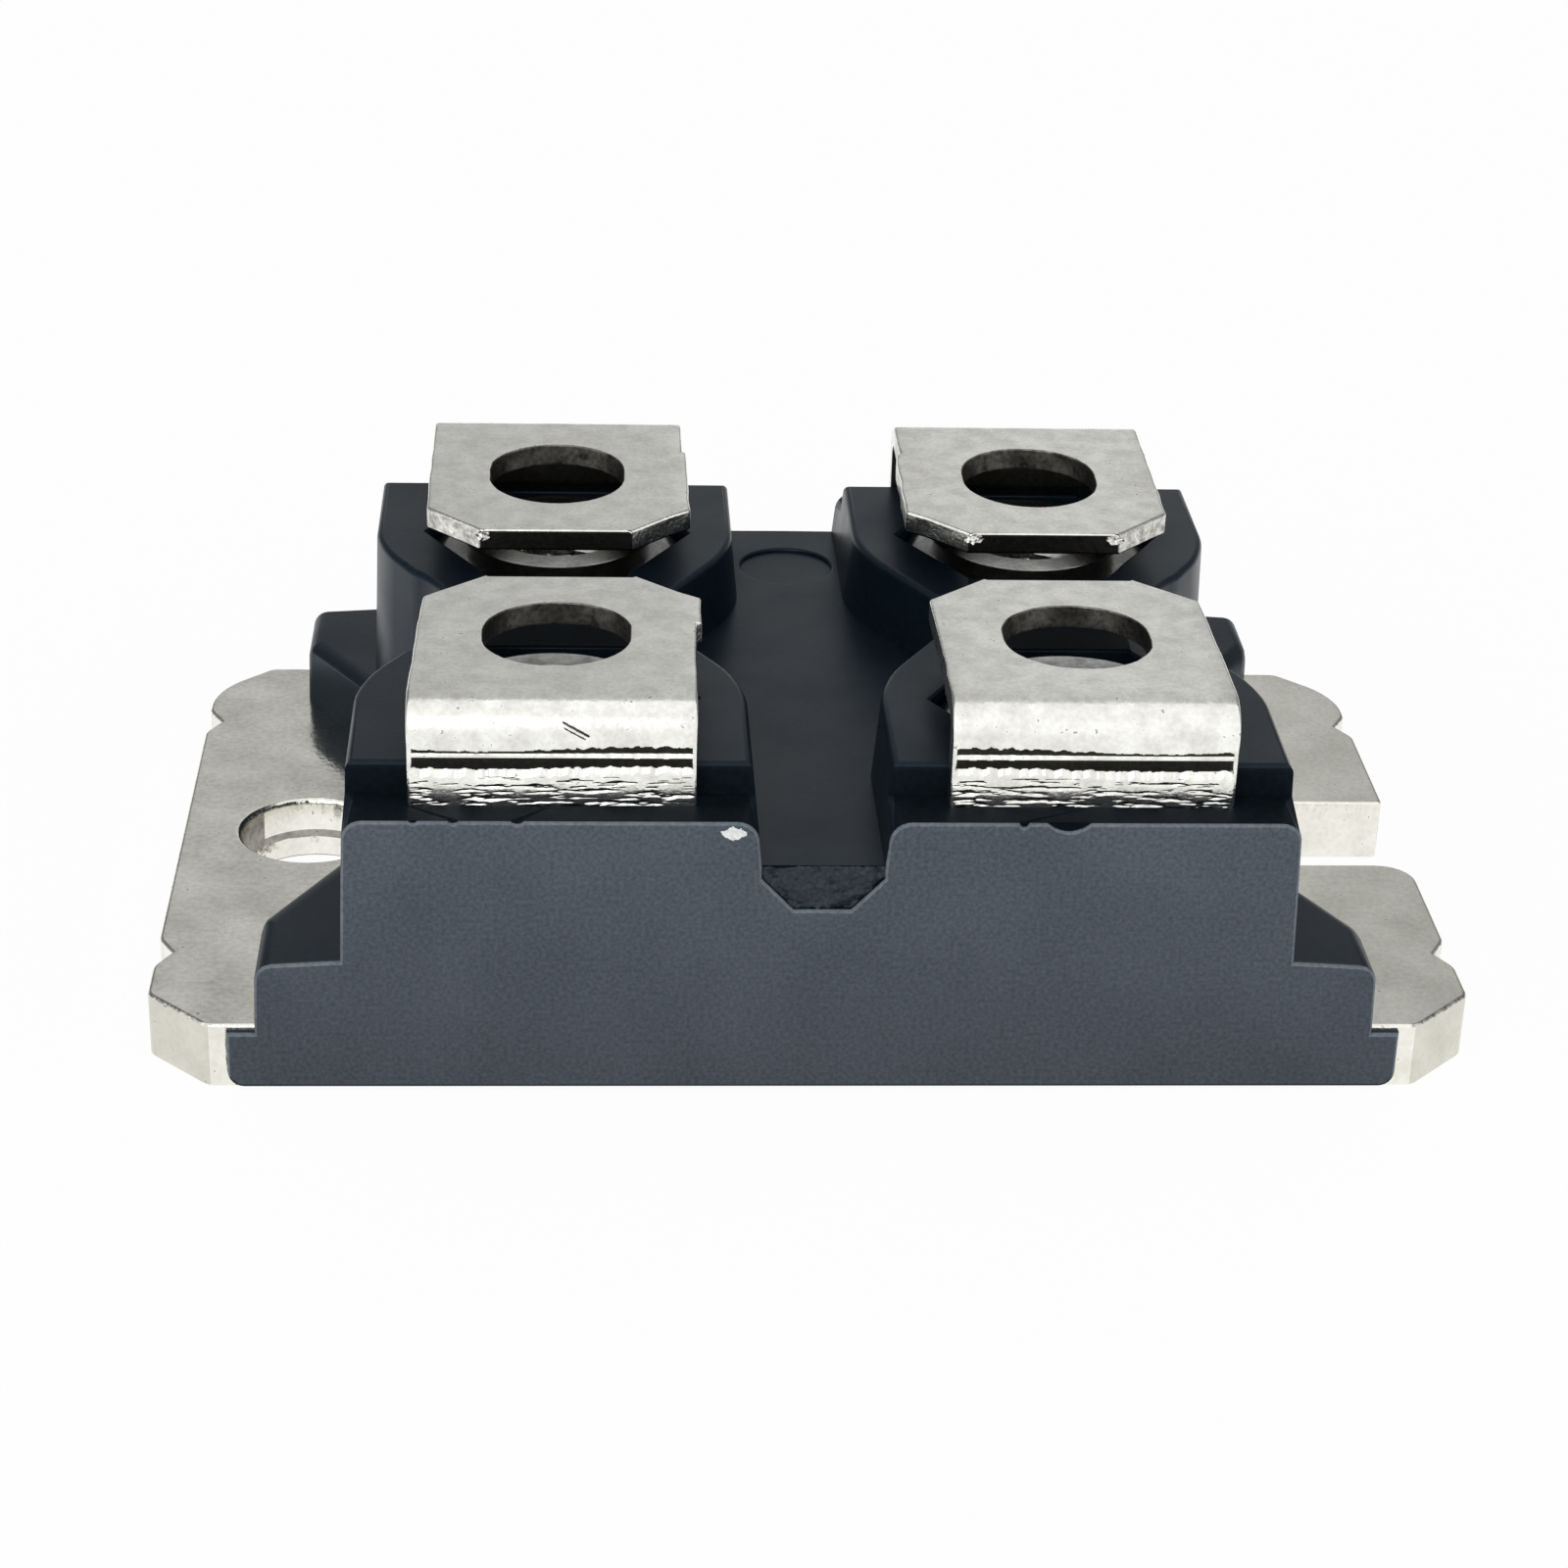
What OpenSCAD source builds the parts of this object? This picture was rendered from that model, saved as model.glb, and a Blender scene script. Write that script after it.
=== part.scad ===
// Isolated power transistor module with four screw terminals, in millimetres.
// The origin is the middle of the base plate's underside. X runs from mounting hole
// to mounting slot, Y across the module from front to rear, and Z is up.

/* [Base plate] */
// Length over both ends
plate_len = 38.1; // [36.5:0.1:42]
// Width between the long edges
plate_w = 24.6; // [23.5:0.1:27]
// Thickness of the plate
plate_t = 2; // [1.5:0.1:3]
// Legs of the cut-off corners
plate_corner = 1.8; // [0.5:0.1:3]
// Distance of the mounting hole and slot centres from the plate's ends
mount_edge = 3.95; // [3.6:0.05:4.2]
// Diameter of the mounting hole
mount_hole_d = 4.3; // [3.4:0.1:5]
// Width of the open mounting slot
mount_slot_w = 4.4; // [3.4:0.1:5]
// Distance of the tie-bar nicks in the end edges from the middle
nick_y = 8; // [6:0.1:9]
// Width of a nick at the edge
nick_w = 1.6; // [0.8:0.1:2]
// Depth of a nick
nick_depth = 0.45; // [0.2:0.05:0.8]

/* [Housing] */
// Distance of the foot's end walls from the plate's ends
foot_inset = 3.2; // [2.6:0.1:3.4]
// Length over the outer walls of the nut towers at their root
tower_len = 26.8; // [26:0.1:28]
// Height of the shoulders above the plate at their outer ends
shoulder_h = 2; // [1.5:0.05:3]
// Fall of the shoulders from the towers to their outer ends
shoulder_fall = 0.15; // [0:0.05:0.4]
// Height of the nut towers above the plate
tower_h = 7.45; // [7.2:0.05:9]
// Draft of the moulded end walls in degrees
wall_draft = 2; // [0.5:0.25:3]
// Thickness of the skirt that wraps the long edges of the plate
skirt_t = 0.3; // [0.2:0.05:0.8]
// Reach of the skirt past each end of the foot
skirt_reach = 0.8; // [0.2:0.05:1]
// Drop of the skirt's ends below the top of the plate
ear_drop = 0.15; // [0.05:0.05:0.4]
// Height of the skirt's lower edge above the underside of the plate
skirt_lift = 0.1; // [0.05:0.05:0.5]
// Depth of the outer ledges from the long walls to the riser
ledge_depth = 1.85; // [1.6:0.05:2.2]
// Drop of the outer ledges below the tower tops
ledge_drop = 0.95; // [0.5:0.05:1.5]
// Width of the trough between the left and right towers at the top
trough_w = 3.9; // [3.2:0.1:4.2]
// Width of the channel between the front and rear towers
channel_w = 1.8; // [1.4:0.1:2.2]
// Depth of the trough below the tower tops
trough_depth = 2.35; // [1.5:0.05:2.6]
// Draft of the trough walls in degrees
trough_draft = 6; // [1:0.5:8]
// Radius of the bays around the mounting screws
bay_r = 4.4; // [3.8:0.1:4.6]
// Diameter of the round ejector mark in the trough floor
ejector_d = 3; // [1.5:0.1:3.1]
// Depth of the ejector mark
ejector_depth = 0.12; // [0.05:0.01:0.3]
// Distance of the ejector mark from the middle
ejector_y = 9.4; // [7:0.1:10]
// Height of the broken mould gate below the trough
gate_scar_h = 1.3; // [0.8:0.05:1.6]
// Height of the straight lip at the top of the broken mould gate
gate_lip_h = 0.35; // [0.1:0.05:0.6]
// Width of the broken mould gate at its lower end
gate_scar_w = 1.6; // [0.8:0.1:2.2]
// Depth of the broken mould gate
gate_scar_depth = 0.25; // [0.1:0.05:0.5]

/* [Terminals] */
// Distance between terminal screws along the module
terminal_pitch_x = 15; // [14.6:0.1:15.4]
// Distance of the terminal screws from the plate's long edges
terminal_edge = 5.95; // [5.85:0.05:6.05]
// Width of the terminal sheet
terminal_w = 8; // [7:0.1:8.6]
// Thickness of the terminal sheet
terminal_t = 0.7; // [0.5:0.05:0.8]
// Height of the terminal faces above the tower tops
terminal_rise = 2.1; // [1.9:0.05:3]
// Inner radius of the folds
fold_r = 0.4; // [0.2:0.05:0.6]
// Distance from the screw centre to the free end of a tab
tab_reach = 4.5; // [3.8:0.1:5]
// Legs of the cut-off corners of a tab
tab_corner = 1.65; // [0.8:0.05:2.2]
// Width of the screw hole in a tab
tab_hole_w = 4.2; // [4:0.1:4.6]
// Length of the screw hole along a tab
tab_hole_l = 4.8; // [4.7:0.1:5.4]
// Droop of the tabs towards their free ends in degrees
tab_droop = 1.5; // [0.25:0.25:3]
// Gap between a terminal and the riser behind it
riser_gap = 0.05; // [0.02:0.01:0.15]
// Width of the leg that runs down to the substrate
leg_w = 3.2; // [2:0.1:3.6]
// Depth to which the full width of a terminal is moulded in below the ledge
anchor_depth = 1.9; // [1:0.1:2.4]

/* [Nuts] */
// Width of a nut across its flats
nut_af = 7; // [6.6:0.1:7.2]
// Height of a nut
nut_h = 3.2; // [2.6:0.1:3.4]
// Diameter of the threaded bore at the thread crests
nut_bore_d = 3.3; // [2.8:0.1:3.6]
// Height of a nut above the tower top
nut_proud = 0.05; // [0.05:0.05:0.4]
// Gap around a nut in its pocket
pocket_gap = 0.1; // [0.05:0.05:0.25]
// Diameter of the well for the screw end below a nut
well_d = 4.6; // [4:0.1:5.2]
// Depth of the well below a nut
well_depth = 1.4; // [0.5:0.1:1.6]

/* [Chip stack] */
// Distance of the ceramic substrate from the plate's long edges
substrate_inset = 2.8; // [2.5:0.1:3.1]
// Thickness of the ceramic
ceramic_t = 0.63; // [0.38:0.01:0.8]
// Thickness of the copper on each side of the ceramic
copper_t = 0.3; // [0.2:0.05:0.4]
// Thickness of the solder layers
solder_t = 0.1; // [0.05:0.01:0.15]
// Bare rim of the ceramic around its copper
copper_margin = 0.3; // [0.2:0.05:0.5]
// Gap between neighbouring copper pads
pad_gap = 0.8; // [0.5:0.05:1.2]
// Copper that is left free inward of a terminal foot
pad_land = 1.4; // [1.3:0.1:1.6]
// Copper that is left free outward of a terminal foot
pad_rim = 0.1; // [0.05:0.05:0.3]
// Length of a terminal foot on its pad
foot_contact = 2.3; // [1.8:0.1:2.5]
// Edge length of the silicon die
die_w = 7.6; // [5:0.1:8]
// Thickness of the silicon die
die_t = 0.35; // [0.2:0.05:0.5]
// Number of source ribbons
ribbon_count = 3; // [1:1:4]
// Width of a source ribbon
ribbon_w = 1.2; // [0.6:0.1:1.4]
// Width of the gate ribbon
gate_ribbon_w = 0.5; // [0.3:0.1:0.8]
// Thickness of the bonding ribbon
ribbon_t = 0.2; // [0.1:0.05:0.3]
// Length of each bonded ribbon end
bond_len = 1; // [0.6:0.1:1.2]
// Height of the ribbon loops above the die
loop_h = 0.9; // [0.5:0.1:1]

/* [Hidden] */
$fn = 64;
// Length by which a cutting body passes the face that it opens
past = 1;

plate_colour = [0.74, 0.73, 0.7];
housing_colour = [0.2, 0.21, 0.23];
terminal_colour = [0.78, 0.78, 0.75];
nut_colour = [0.62, 0.62, 0.6];
copper_colour = [0.72, 0.45, 0.3];
ceramic_colour = [0.92, 0.91, 0.87];
solder_colour = [0.6, 0.6, 0.62];
silicon_colour = [0.35, 0.36, 0.42];
ribbon_colour = [0.82, 0.83, 0.85];

// Levels
housing_w = plate_w + 2 * skirt_t;
shoulder_z = plate_t + shoulder_h;
tower_z = plate_t + tower_h;
ledge_z = tower_z - ledge_drop;
trough_z = tower_z - trough_depth;
terminal_z = tower_z + terminal_rise;
nut_z = tower_z + nut_proud - nut_h;
well_z = nut_z - well_depth;

trough_floor_w = trough_w - 2 * trough_depth * tan(trough_draft);

// Screw centres and the walls around them
mount_x = plate_len / 2 - mount_edge;
screw_x = terminal_pitch_x / 2;
screw_y = plate_w / 2 - terminal_edge;
hex_flank = 60;
pocket_af = nut_af + 2 * pocket_gap;
channel_y = channel_w / 2;
tower_r = screw_y - channel_y;
flare_x = screw_x - tower_r * (1 - cos(hex_flank)) / sin(hex_flank);
flare_y = screw_y - (tower_r - (screw_x - trough_w / 2) * sin(hex_flank)) / cos(hex_flank);
bay_start = 45;
foot_len = plate_len - 2 * foot_inset;
bay_flank_len = 2 * foot_len / 3;

// Terminal fold
riser_y = housing_w / 2 - ledge_depth;
terminal_y = riser_y + riser_gap + terminal_t;
fold_out_r = fold_r + terminal_t;
fold_y = terminal_y - fold_out_r;
fold_z = terminal_z - fold_out_r;
tab_end_y = screw_y - tab_reach;

// Substrate layers and pads
substrate_len = terminal_pitch_x + leg_w + 2 * (pad_rim + copper_margin);
substrate_w = plate_w - 2 * substrate_inset;
bottom_copper_z = plate_t + solder_t;
ceramic_z = bottom_copper_z + copper_t;
pad_z = ceramic_z + ceramic_t;
pad_top_z = pad_z + copper_t;
foot_z = pad_top_z + solder_t;
die_top_z = foot_z + die_t;
pad_edge_x = substrate_len / 2 - copper_margin;
pad_edge_y = substrate_w / 2 - copper_margin;
foot_end_y = pad_edge_y - foot_contact;
land_x = screw_x - leg_w / 2 - pad_land;
land_y = foot_end_y - pad_land;
drain_x = pad_gap - land_x;
drain_y = pad_gap - land_y;
bond_inset = (pad_land - bond_len) / 2;
die_x = (drain_x + pad_edge_x) / 2;
die_y = (drain_y + foot_end_y) / 2;

// A box from its lowest to its highest corner
module block(low, high) {
    translate(low)
        cube(high - low);
}

// The same shape at the front and at the rear
module front_and_rear() {
    children();
    mirror([0, 1, 0])
        children();
}

// The same shape at the left and at the right
module left_and_right() {
    children();
    mirror([1, 0, 0])
        children();
}

// A shape at each terminal screw
module at_screws() {
    front_and_rear()
        left_and_right()
            translate([screw_x, screw_y, 0])
                children();
}

// A profile drawn across X and Z, extruded along Y and centred
module along_y(length) {
    rotate([90, 0, 0])
        linear_extrude(height = length, center = true)
            children();
}

// A profile drawn across Y and Z, extruded along X and centred
module along_x(length) {
    rotate([90, 0, 90])
        linear_extrude(height = length, center = true)
            children();
}

module plate_outline() {
    x = plate_len / 2;
    y = plate_w / 2;
    difference() {
        square([plate_len, plate_w], center = true);
        for (sx = [-1, 1], sy = [-1, 1]) {
            translate([sx * x, sy * y])
                rotate(45)
                    square(plate_corner * sqrt(2), center = true);
            translate([sx * x, sy * nick_y])
                polygon([[sx * past, -nick_w / 2], [0, -nick_w / 2], [-sx * nick_depth, 0],
                    [0, nick_w / 2], [sx * past, nick_w / 2]]);
        }
    }
}

module base_plate() {
    color(plate_colour)
        difference() {
            linear_extrude(height = plate_t)
                plate_outline();
            translate([-mount_x, 0, -past])
                cylinder(d = mount_hole_d, h = plate_t + 2 * past);
            translate([mount_x, 0, -past])
                cylinder(d = mount_slot_w, h = plate_t + 2 * past);
            block([mount_x, -mount_slot_w / 2, -past], [plate_len / 2 + past, mount_slot_w / 2, plate_t + past]);
        }
}

// One layer under the ceramic, inside the bare rim
module substrate_layer(z, thickness, margin) {
    x = substrate_len / 2 - margin;
    y = substrate_w / 2 - margin;
    block([-x, -y, z], [x, y, z + thickness]);
}

module plate_solder() {
    color(solder_colour)
        substrate_layer(plate_t, solder_t, copper_margin);
}

module bottom_copper() {
    color(copper_colour)
        substrate_layer(bottom_copper_z, copper_t, copper_margin);
}

module ceramic_substrate() {
    color(ceramic_colour)
        substrate_layer(ceramic_z, ceramic_t, 0);
}

// The source pad joins both terminals on the left
module source_pad() {
    color(copper_colour)
        block([-pad_edge_x, -pad_edge_y, pad_z], [-land_x, pad_edge_y, pad_top_z]);
}

module drain_pad() {
    color(copper_colour)
        block([drain_x, drain_y, pad_z], [pad_edge_x, pad_edge_y, pad_top_z]);
}

module gate_pad() {
    color(copper_colour)
        block([land_x, -pad_edge_y, pad_z], [pad_edge_x, -land_y, pad_top_z]);
}

module die_layer(z, thickness) {
    translate([die_x - die_w / 2, die_y - die_w / 2, z])
        cube([die_w, die_w, thickness]);
}

module die_solder() {
    color(solder_colour)
        die_layer(pad_top_z, solder_t);
}

module transistor_die() {
    color(silicon_colour)
        die_layer(foot_z, die_t);
}

// Side view of a ribbon that runs from the die at the origin down to a pad at -span
module ribbon_profile(span) {
    drop = die_top_z - pad_top_z;
    slope = loop_h;
    low = [
        [bond_len, 0],
        [0, 0],
        [-slope, loop_h],
        [slope + drop - span, loop_h],
        [-span, -drop],
        [-span - bond_len, -drop],
    ];
    high = [for (i = [len(low) - 1 : -1 : 0]) low[i] + [0, ribbon_t]];
    polygon(concat(low, high));
}

module source_ribbons() {
    edge_x = die_x - die_w / 2 + bond_len / 2;
    pitch = die_w / (ribbon_count + 1);
    color(ribbon_colour)
        for (i = [1 : ribbon_count])
            translate([edge_x, die_y - die_w / 2 + i * pitch, die_top_z])
                along_y(ribbon_w)
                    ribbon_profile(edge_x + land_x + bond_inset);
}

module gate_ribbon() {
    edge_y = die_y - die_w / 2 + bond_len / 2;
    color(ribbon_colour)
        translate([die_x + die_w / 2 - gate_ribbon_w, edge_y, die_top_z])
            along_x(gate_ribbon_w)
                ribbon_profile(edge_y + land_y + bond_inset);
}

// Thin solder patches between the terminal feet and their pads
module foot_solder() {
    color(solder_colour)
        front_and_rear()
            left_and_right()
                block([screw_x - leg_w / 2, foot_end_y, pad_top_z], [screw_x + leg_w / 2, pad_edge_y, foot_z]);
}

// A quarter ring of sheet, opened by a few more degrees where the tab droops
module fold(droop) {
    intersection() {
        difference() {
            circle(r = fold_out_r);
            circle(r = fold_r);
        }
        polygon([[0, 0], [fold_out_r, 0], [fold_out_r, fold_out_r], [-fold_out_r * tan(droop), fold_out_r]]);
    }
}

// Side view of a terminal: tab, fold, upright, fold and foot
module terminal_profile() {
    tab_len = fold_y - tab_end_y;
    foot_fold_z = foot_z + fold_out_r;
    translate([fold_y, fold_z]) {
        fold(tab_droop);
        rotate(tab_droop)
            translate([-tab_len, fold_r])
                square([tab_len, terminal_t]);
    }
    translate([terminal_y - terminal_t, foot_fold_z])
        square([terminal_t, fold_z - foot_fold_z]);
    translate([fold_y, foot_fold_z])
        mirror([0, 1])
            fold(0);
    translate([foot_end_y, foot_z])
        square([fold_y - foot_end_y, terminal_t]);
}

module tab_hole() {
    side = (tab_hole_l - tab_hole_w) / 2;
    for (s = [-1, 1])
        translate([0, s * side])
            circle(d = tab_hole_w);
    square([tab_hole_w, 2 * side], center = true);
}

// One folded terminal, standing at the rear with its middle on X = 0
module folded_terminal() {
    difference() {
        along_x(terminal_w)
            terminal_profile();
        translate([0, 0, tower_z]) {
            translate([0, screw_y, 0])
                linear_extrude(height = terminal_rise + past)
                    tab_hole();
            for (s = [-1, 1])
                translate([s * terminal_w / 2, tab_end_y, 0])
                    rotate(45)
                        linear_extrude(height = terminal_rise + past)
                            square(tab_corner * sqrt(2), center = true);
        }
        left_and_right()
            block([leg_w / 2, 0, 0], [terminal_w / 2 + past, terminal_y + past, ledge_z - anchor_depth]);
    }
}

module front_source_terminal() {
    color(terminal_colour)
        translate([-screw_x, 0, 0])
            mirror([0, 1, 0])
                folded_terminal();
}

module rear_source_terminal() {
    color(terminal_colour)
        translate([-screw_x, 0, 0])
            folded_terminal();
}

module drain_terminal() {
    color(terminal_colour)
        translate([screw_x, 0, 0])
            folded_terminal();
}

module gate_terminal() {
    color(terminal_colour)
        translate([screw_x, 0, 0])
            mirror([0, 1, 0])
                folded_terminal();
}

// A hexagonal prism with two of its flats facing front and rear
module hex_prism(across_flats, height) {
    cylinder(d = across_flats / cos(30), h = height, $fn = 6);
}

// Hexagon nut with both faces chamfered to a circle and a countersunk bore
module hex_nut() {
    face_r = 0.435 * nut_af;
    corner_r = nut_af / sqrt(3);
    chamfer_h = (corner_r - face_r) * tan(30);
    sink = nut_bore_d * 0.3;
    difference() {
        intersection() {
            hex_prism(nut_af, nut_h);
            rotate_extrude()
                polygon([[0, 0], [face_r, 0], [corner_r, chamfer_h], [corner_r, nut_h - chamfer_h],
                    [face_r, nut_h], [0, nut_h]]);
        }
        translate([0, 0, -past])
            cylinder(d = nut_bore_d, h = nut_h + 2 * past);
        for (z = [0, nut_h])
            translate([0, 0, z])
                rotate_extrude()
                    polygon([[0, -sink / 2], [nut_bore_d / 2 + sink / 2, 0], [0, sink / 2]]);
    }
}

module terminal_nuts() {
    color(nut_colour)
        at_screws()
            translate([0, 0, nut_z])
                hex_nut();
}

// Side view of the moulding with its drafted end walls
module housing_profile() {
    foot_x = foot_len / 2;
    tower_x = tower_len / 2;
    foot_lean = shoulder_h * tan(wall_draft);
    tower_lean = (tower_z - shoulder_z - shoulder_fall) * tan(wall_draft);
    right = [
        [foot_x, plate_t],
        [foot_x - foot_lean, shoulder_z],
        [tower_x, shoulder_z + shoulder_fall],
        [tower_x - tower_lean, tower_z],
    ];
    left = [for (i = [len(right) - 1 : -1 : 0]) [-right[i][0], right[i][1]]];
    polygon(concat(right, left));
}

// Bay that clears the head of a mounting screw and opens towards the end of the module
module screw_bay() {
    start = bay_r * [cos(bay_start), sin(bay_start)];
    end = start + bay_flank_len * [-cos(hex_flank), sin(hex_flank)];
    circle(r = bay_r);
    polygon([[start[0], -start[1]], start, end, [end[0], -end[1]]]);
}

// The trough, its flared middle and the channel across to both screw bays
module middle_channels() {
    trough_x = trough_w / 2;
    floor_x = trough_floor_w / 2;
    mouth_y = flare_y + (trough_x - floor_x) * tan(hex_flank);
    along_y(housing_w + 2 * past)
        polygon([[-floor_x, trough_z], [floor_x, trough_z], [trough_x, tower_z],
            [trough_x, tower_z + past], [-trough_x, tower_z + past], [-trough_x, tower_z]]);
    translate([0, 0, trough_z])
        linear_extrude(height = trough_depth + past) {
            polygon([[-floor_x, -mouth_y], [floor_x, -mouth_y], [flare_x, -channel_y], [flare_x, channel_y],
                [floor_x, mouth_y], [-floor_x, mouth_y], [-flare_x, channel_y], [-flare_x, -channel_y]]);
            square([2 * mount_x, 2 * channel_y], center = true);
        }
    translate([0, ejector_y, trough_z - ejector_depth])
        cylinder(d = ejector_d, h = trough_depth);
}

// Rough patch where the mould gate was broken off the front wall
module gate_scar() {
    top_x = trough_floor_w / 2;
    low_x = gate_scar_w / 2;
    lip_z = trough_z - gate_lip_h;
    low_z = trough_z - gate_scar_h;
    translate([0, -housing_w / 2, 0])
        along_y(2 * gate_scar_depth)
            polygon([[-top_x, trough_z], [-top_x, lip_z], [-low_x, low_z],
                [low_x, low_z], [top_x, lip_z], [top_x, trough_z]]);
}

// Everything that the moulding encloses
module moulded_in() {
    plate_solder();
    bottom_copper();
    ceramic_substrate();
    source_pad();
    drain_pad();
    gate_pad();
    die_solder();
    transistor_die();
    source_ribbons();
    gate_ribbon();
    foot_solder();
    front_source_terminal();
    rear_source_terminal();
    drain_terminal();
    gate_terminal();
}

module moulded_housing() {
    foot_x = foot_len / 2;
    skirt_x = foot_x + skirt_reach;
    ear_z = plate_t - ear_drop;
    color(housing_colour)
        difference() {
            union() {
                along_y(housing_w)
                    housing_profile();
                front_and_rear() {
                    block([-skirt_x, plate_w / 2, skirt_lift], [skirt_x, housing_w / 2, ear_z]);
                    block([-foot_x, plate_w / 2, skirt_lift], [foot_x, housing_w / 2, plate_t]);
                }
            }
            left_and_right()
                translate([-mount_x, 0, plate_t])
                    linear_extrude(height = tower_h + past)
                        screw_bay();
            front_and_rear()
                block([-tower_len, riser_y, ledge_z], [tower_len, housing_w, tower_z + past]);
            middle_channels();
            gate_scar();
            at_screws() {
                translate([0, 0, nut_z])
                    hex_prism(pocket_af, nut_h + past);
                translate([0, 0, well_z])
                    cylinder(d = well_d, h = well_depth + past);
            }
            moulded_in();
        }
}

base_plate();
plate_solder();
bottom_copper();
ceramic_substrate();
source_pad();
drain_pad();
gate_pad();
die_solder();
transistor_die();
source_ribbons();
gate_ribbon();
foot_solder();
front_source_terminal();
rear_source_terminal();
drain_terminal();
gate_terminal();
terminal_nuts();
moulded_housing();
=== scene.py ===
# %% [markdown]
# # A power transistor module
# The real thing is a block of black epoxy, moulded around a chip on a nickel-plated base plate.
# Four folded terminals stand over loose nuts. The solids come from the CAD model, in metres,
# and this lesson rounds their edges, adds the small marks of manufacture and gives each a finish.

# %% Load the CAD frame
import math

import bmesh
import bpy
from mathutils import Matrix, Vector, noise


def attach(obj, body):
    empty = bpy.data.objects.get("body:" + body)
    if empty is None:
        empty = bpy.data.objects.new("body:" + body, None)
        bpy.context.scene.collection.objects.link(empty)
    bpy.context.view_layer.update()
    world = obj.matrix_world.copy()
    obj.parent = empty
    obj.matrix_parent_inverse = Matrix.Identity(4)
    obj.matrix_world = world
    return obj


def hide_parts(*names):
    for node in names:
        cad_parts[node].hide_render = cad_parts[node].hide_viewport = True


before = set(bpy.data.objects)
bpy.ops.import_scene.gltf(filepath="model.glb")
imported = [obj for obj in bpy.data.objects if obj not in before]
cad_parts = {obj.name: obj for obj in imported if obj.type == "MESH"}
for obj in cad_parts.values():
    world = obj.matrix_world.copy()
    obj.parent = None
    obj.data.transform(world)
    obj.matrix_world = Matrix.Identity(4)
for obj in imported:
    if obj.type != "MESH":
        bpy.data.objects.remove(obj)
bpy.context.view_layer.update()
MM = 0.001
print("nodes", sorted(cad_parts))

# %% [markdown]
# ## Camera
# The photograph was taken from close by with a long lens, a little from the left and 27 degrees
# down. A camera can be placed by eye, but here the numbers were fitted to corners of the module
# that can be recognised in the photo, so that the render lies on top of it. A camera looks along
# its own -Z, so the matrix columns are right, up and backwards.

# %% Camera at the photograph's place
PHOTO_PX = 1600
FOCAL_PX = 3671.05
CENTRE_SHIFT_PX = 92.54
CAMERA_MM = Vector((-6.608, -100.854, 52.35))
TILT, ROLL, YAW = 0.4745, 0.0311, -0.0623

ahead = Vector((-math.sin(YAW) * math.cos(TILT), math.cos(YAW) * math.cos(TILT), -math.sin(TILT)))
right = Vector((math.cos(YAW), math.sin(YAW), 0))
above = right.cross(ahead)
camera_x = right * math.cos(ROLL) + above * math.sin(ROLL)
camera_y = above * math.cos(ROLL) - right * math.sin(ROLL)
lens = bpy.data.cameras.new("camera")
lens.sensor_width = 36
lens.lens = lens.sensor_width * FOCAL_PX / PHOTO_PX
lens.shift_y = CENTRE_SHIFT_PX / PHOTO_PX
lens.clip_start = 0.005
camera = bpy.data.objects.new("camera", lens)
turn = Matrix((camera_x, camera_y, -ahead)).transposed().to_4x4()
camera.matrix_world = Matrix.Translation(CAMERA_MM * MM) @ turn
bpy.context.scene.collection.objects.link(camera)
bpy.context.scene.camera = camera
print("lens", round(lens.lens, 1), "mm")

# %% [markdown]
# ## Helpers for colours and nodes
# Colours are written as sRGB hex values, as a colour picker shows them, and shaders want them linear.
# Nodes can be added by hand in the editor, one click at a time. Here one function adds any of them:
# its settings are keywords and its inputs are values, nodes or sockets, so one line reads as one node.
# A list fills the sockets from the top: for Map Range these are the value, the two ends that it comes
# from and the two that it goes to. Mix has its names once for each type of data, so its sockets are
# numbered: 0 is the factor, 6 and 7 are the colours, and output 2 is the mixed colour.

# %% Colours and pattern sizes
def linear(hex_colour):
    channels = [int(hex_colour[i:i + 2], 16) / 255 for i in (1, 3, 5)]
    return tuple(c / 12.92 if c < 0.04045 else ((c + 0.055) / 1.055) ** 2.4 for c in channels) + (1,)


def per_mm(size_mm):
    """Texture scale at which one feature is about size_mm across."""
    return 1 / (size_mm * MM)


print("middle grey is", round(linear("#808080")[0], 3), "in linear light")

# %% Nodes
def add(tree, kind, inputs=(), **settings):
    """Adds a node. inputs is a list in the order of its sockets, or a dict by their name or number."""
    made = tree.nodes.new(kind)
    for name, value in settings.items():
        setattr(made, name, value)
    for socket, value in inputs.items() if isinstance(inputs, dict) else enumerate(inputs):
        if isinstance(value, bpy.types.Node):
            value = value.outputs[0]
        if isinstance(value, bpy.types.NodeSocket):
            tree.links.new(value, made.inputs[socket])
        else:
            made.inputs[socket].default_value = value
    return made


def new_material(name):
    """An empty material, its node tree and the place on the object, in metres."""
    material = bpy.data.materials.new(name)
    material.use_nodes = True
    tree = material.node_tree
    tree.nodes.clear()
    return material, tree, add(tree, "ShaderNodeTexCoord").outputs["Object"]


print("a pattern of 1 mm has the scale", per_mm(1))

# %% [markdown]
# ## Moulded epoxy
# The housing is black epoxy with glass filler, transfer-moulded in a steel tool. The tool's long
# walls were spark-eroded, and the other faces were polished. A picture could be wrapped around the
# part, but noise on Object coordinates has no seams and stays sharp from close by. The real grain is
# about 0.05 mm; it is drawn at 0.12 mm so that it shows in the render.

# %% A moulded finish
COOL_SHEEN = "#d6ecff"
DRIFT_MM, WALL_MM = 3, 9


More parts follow.
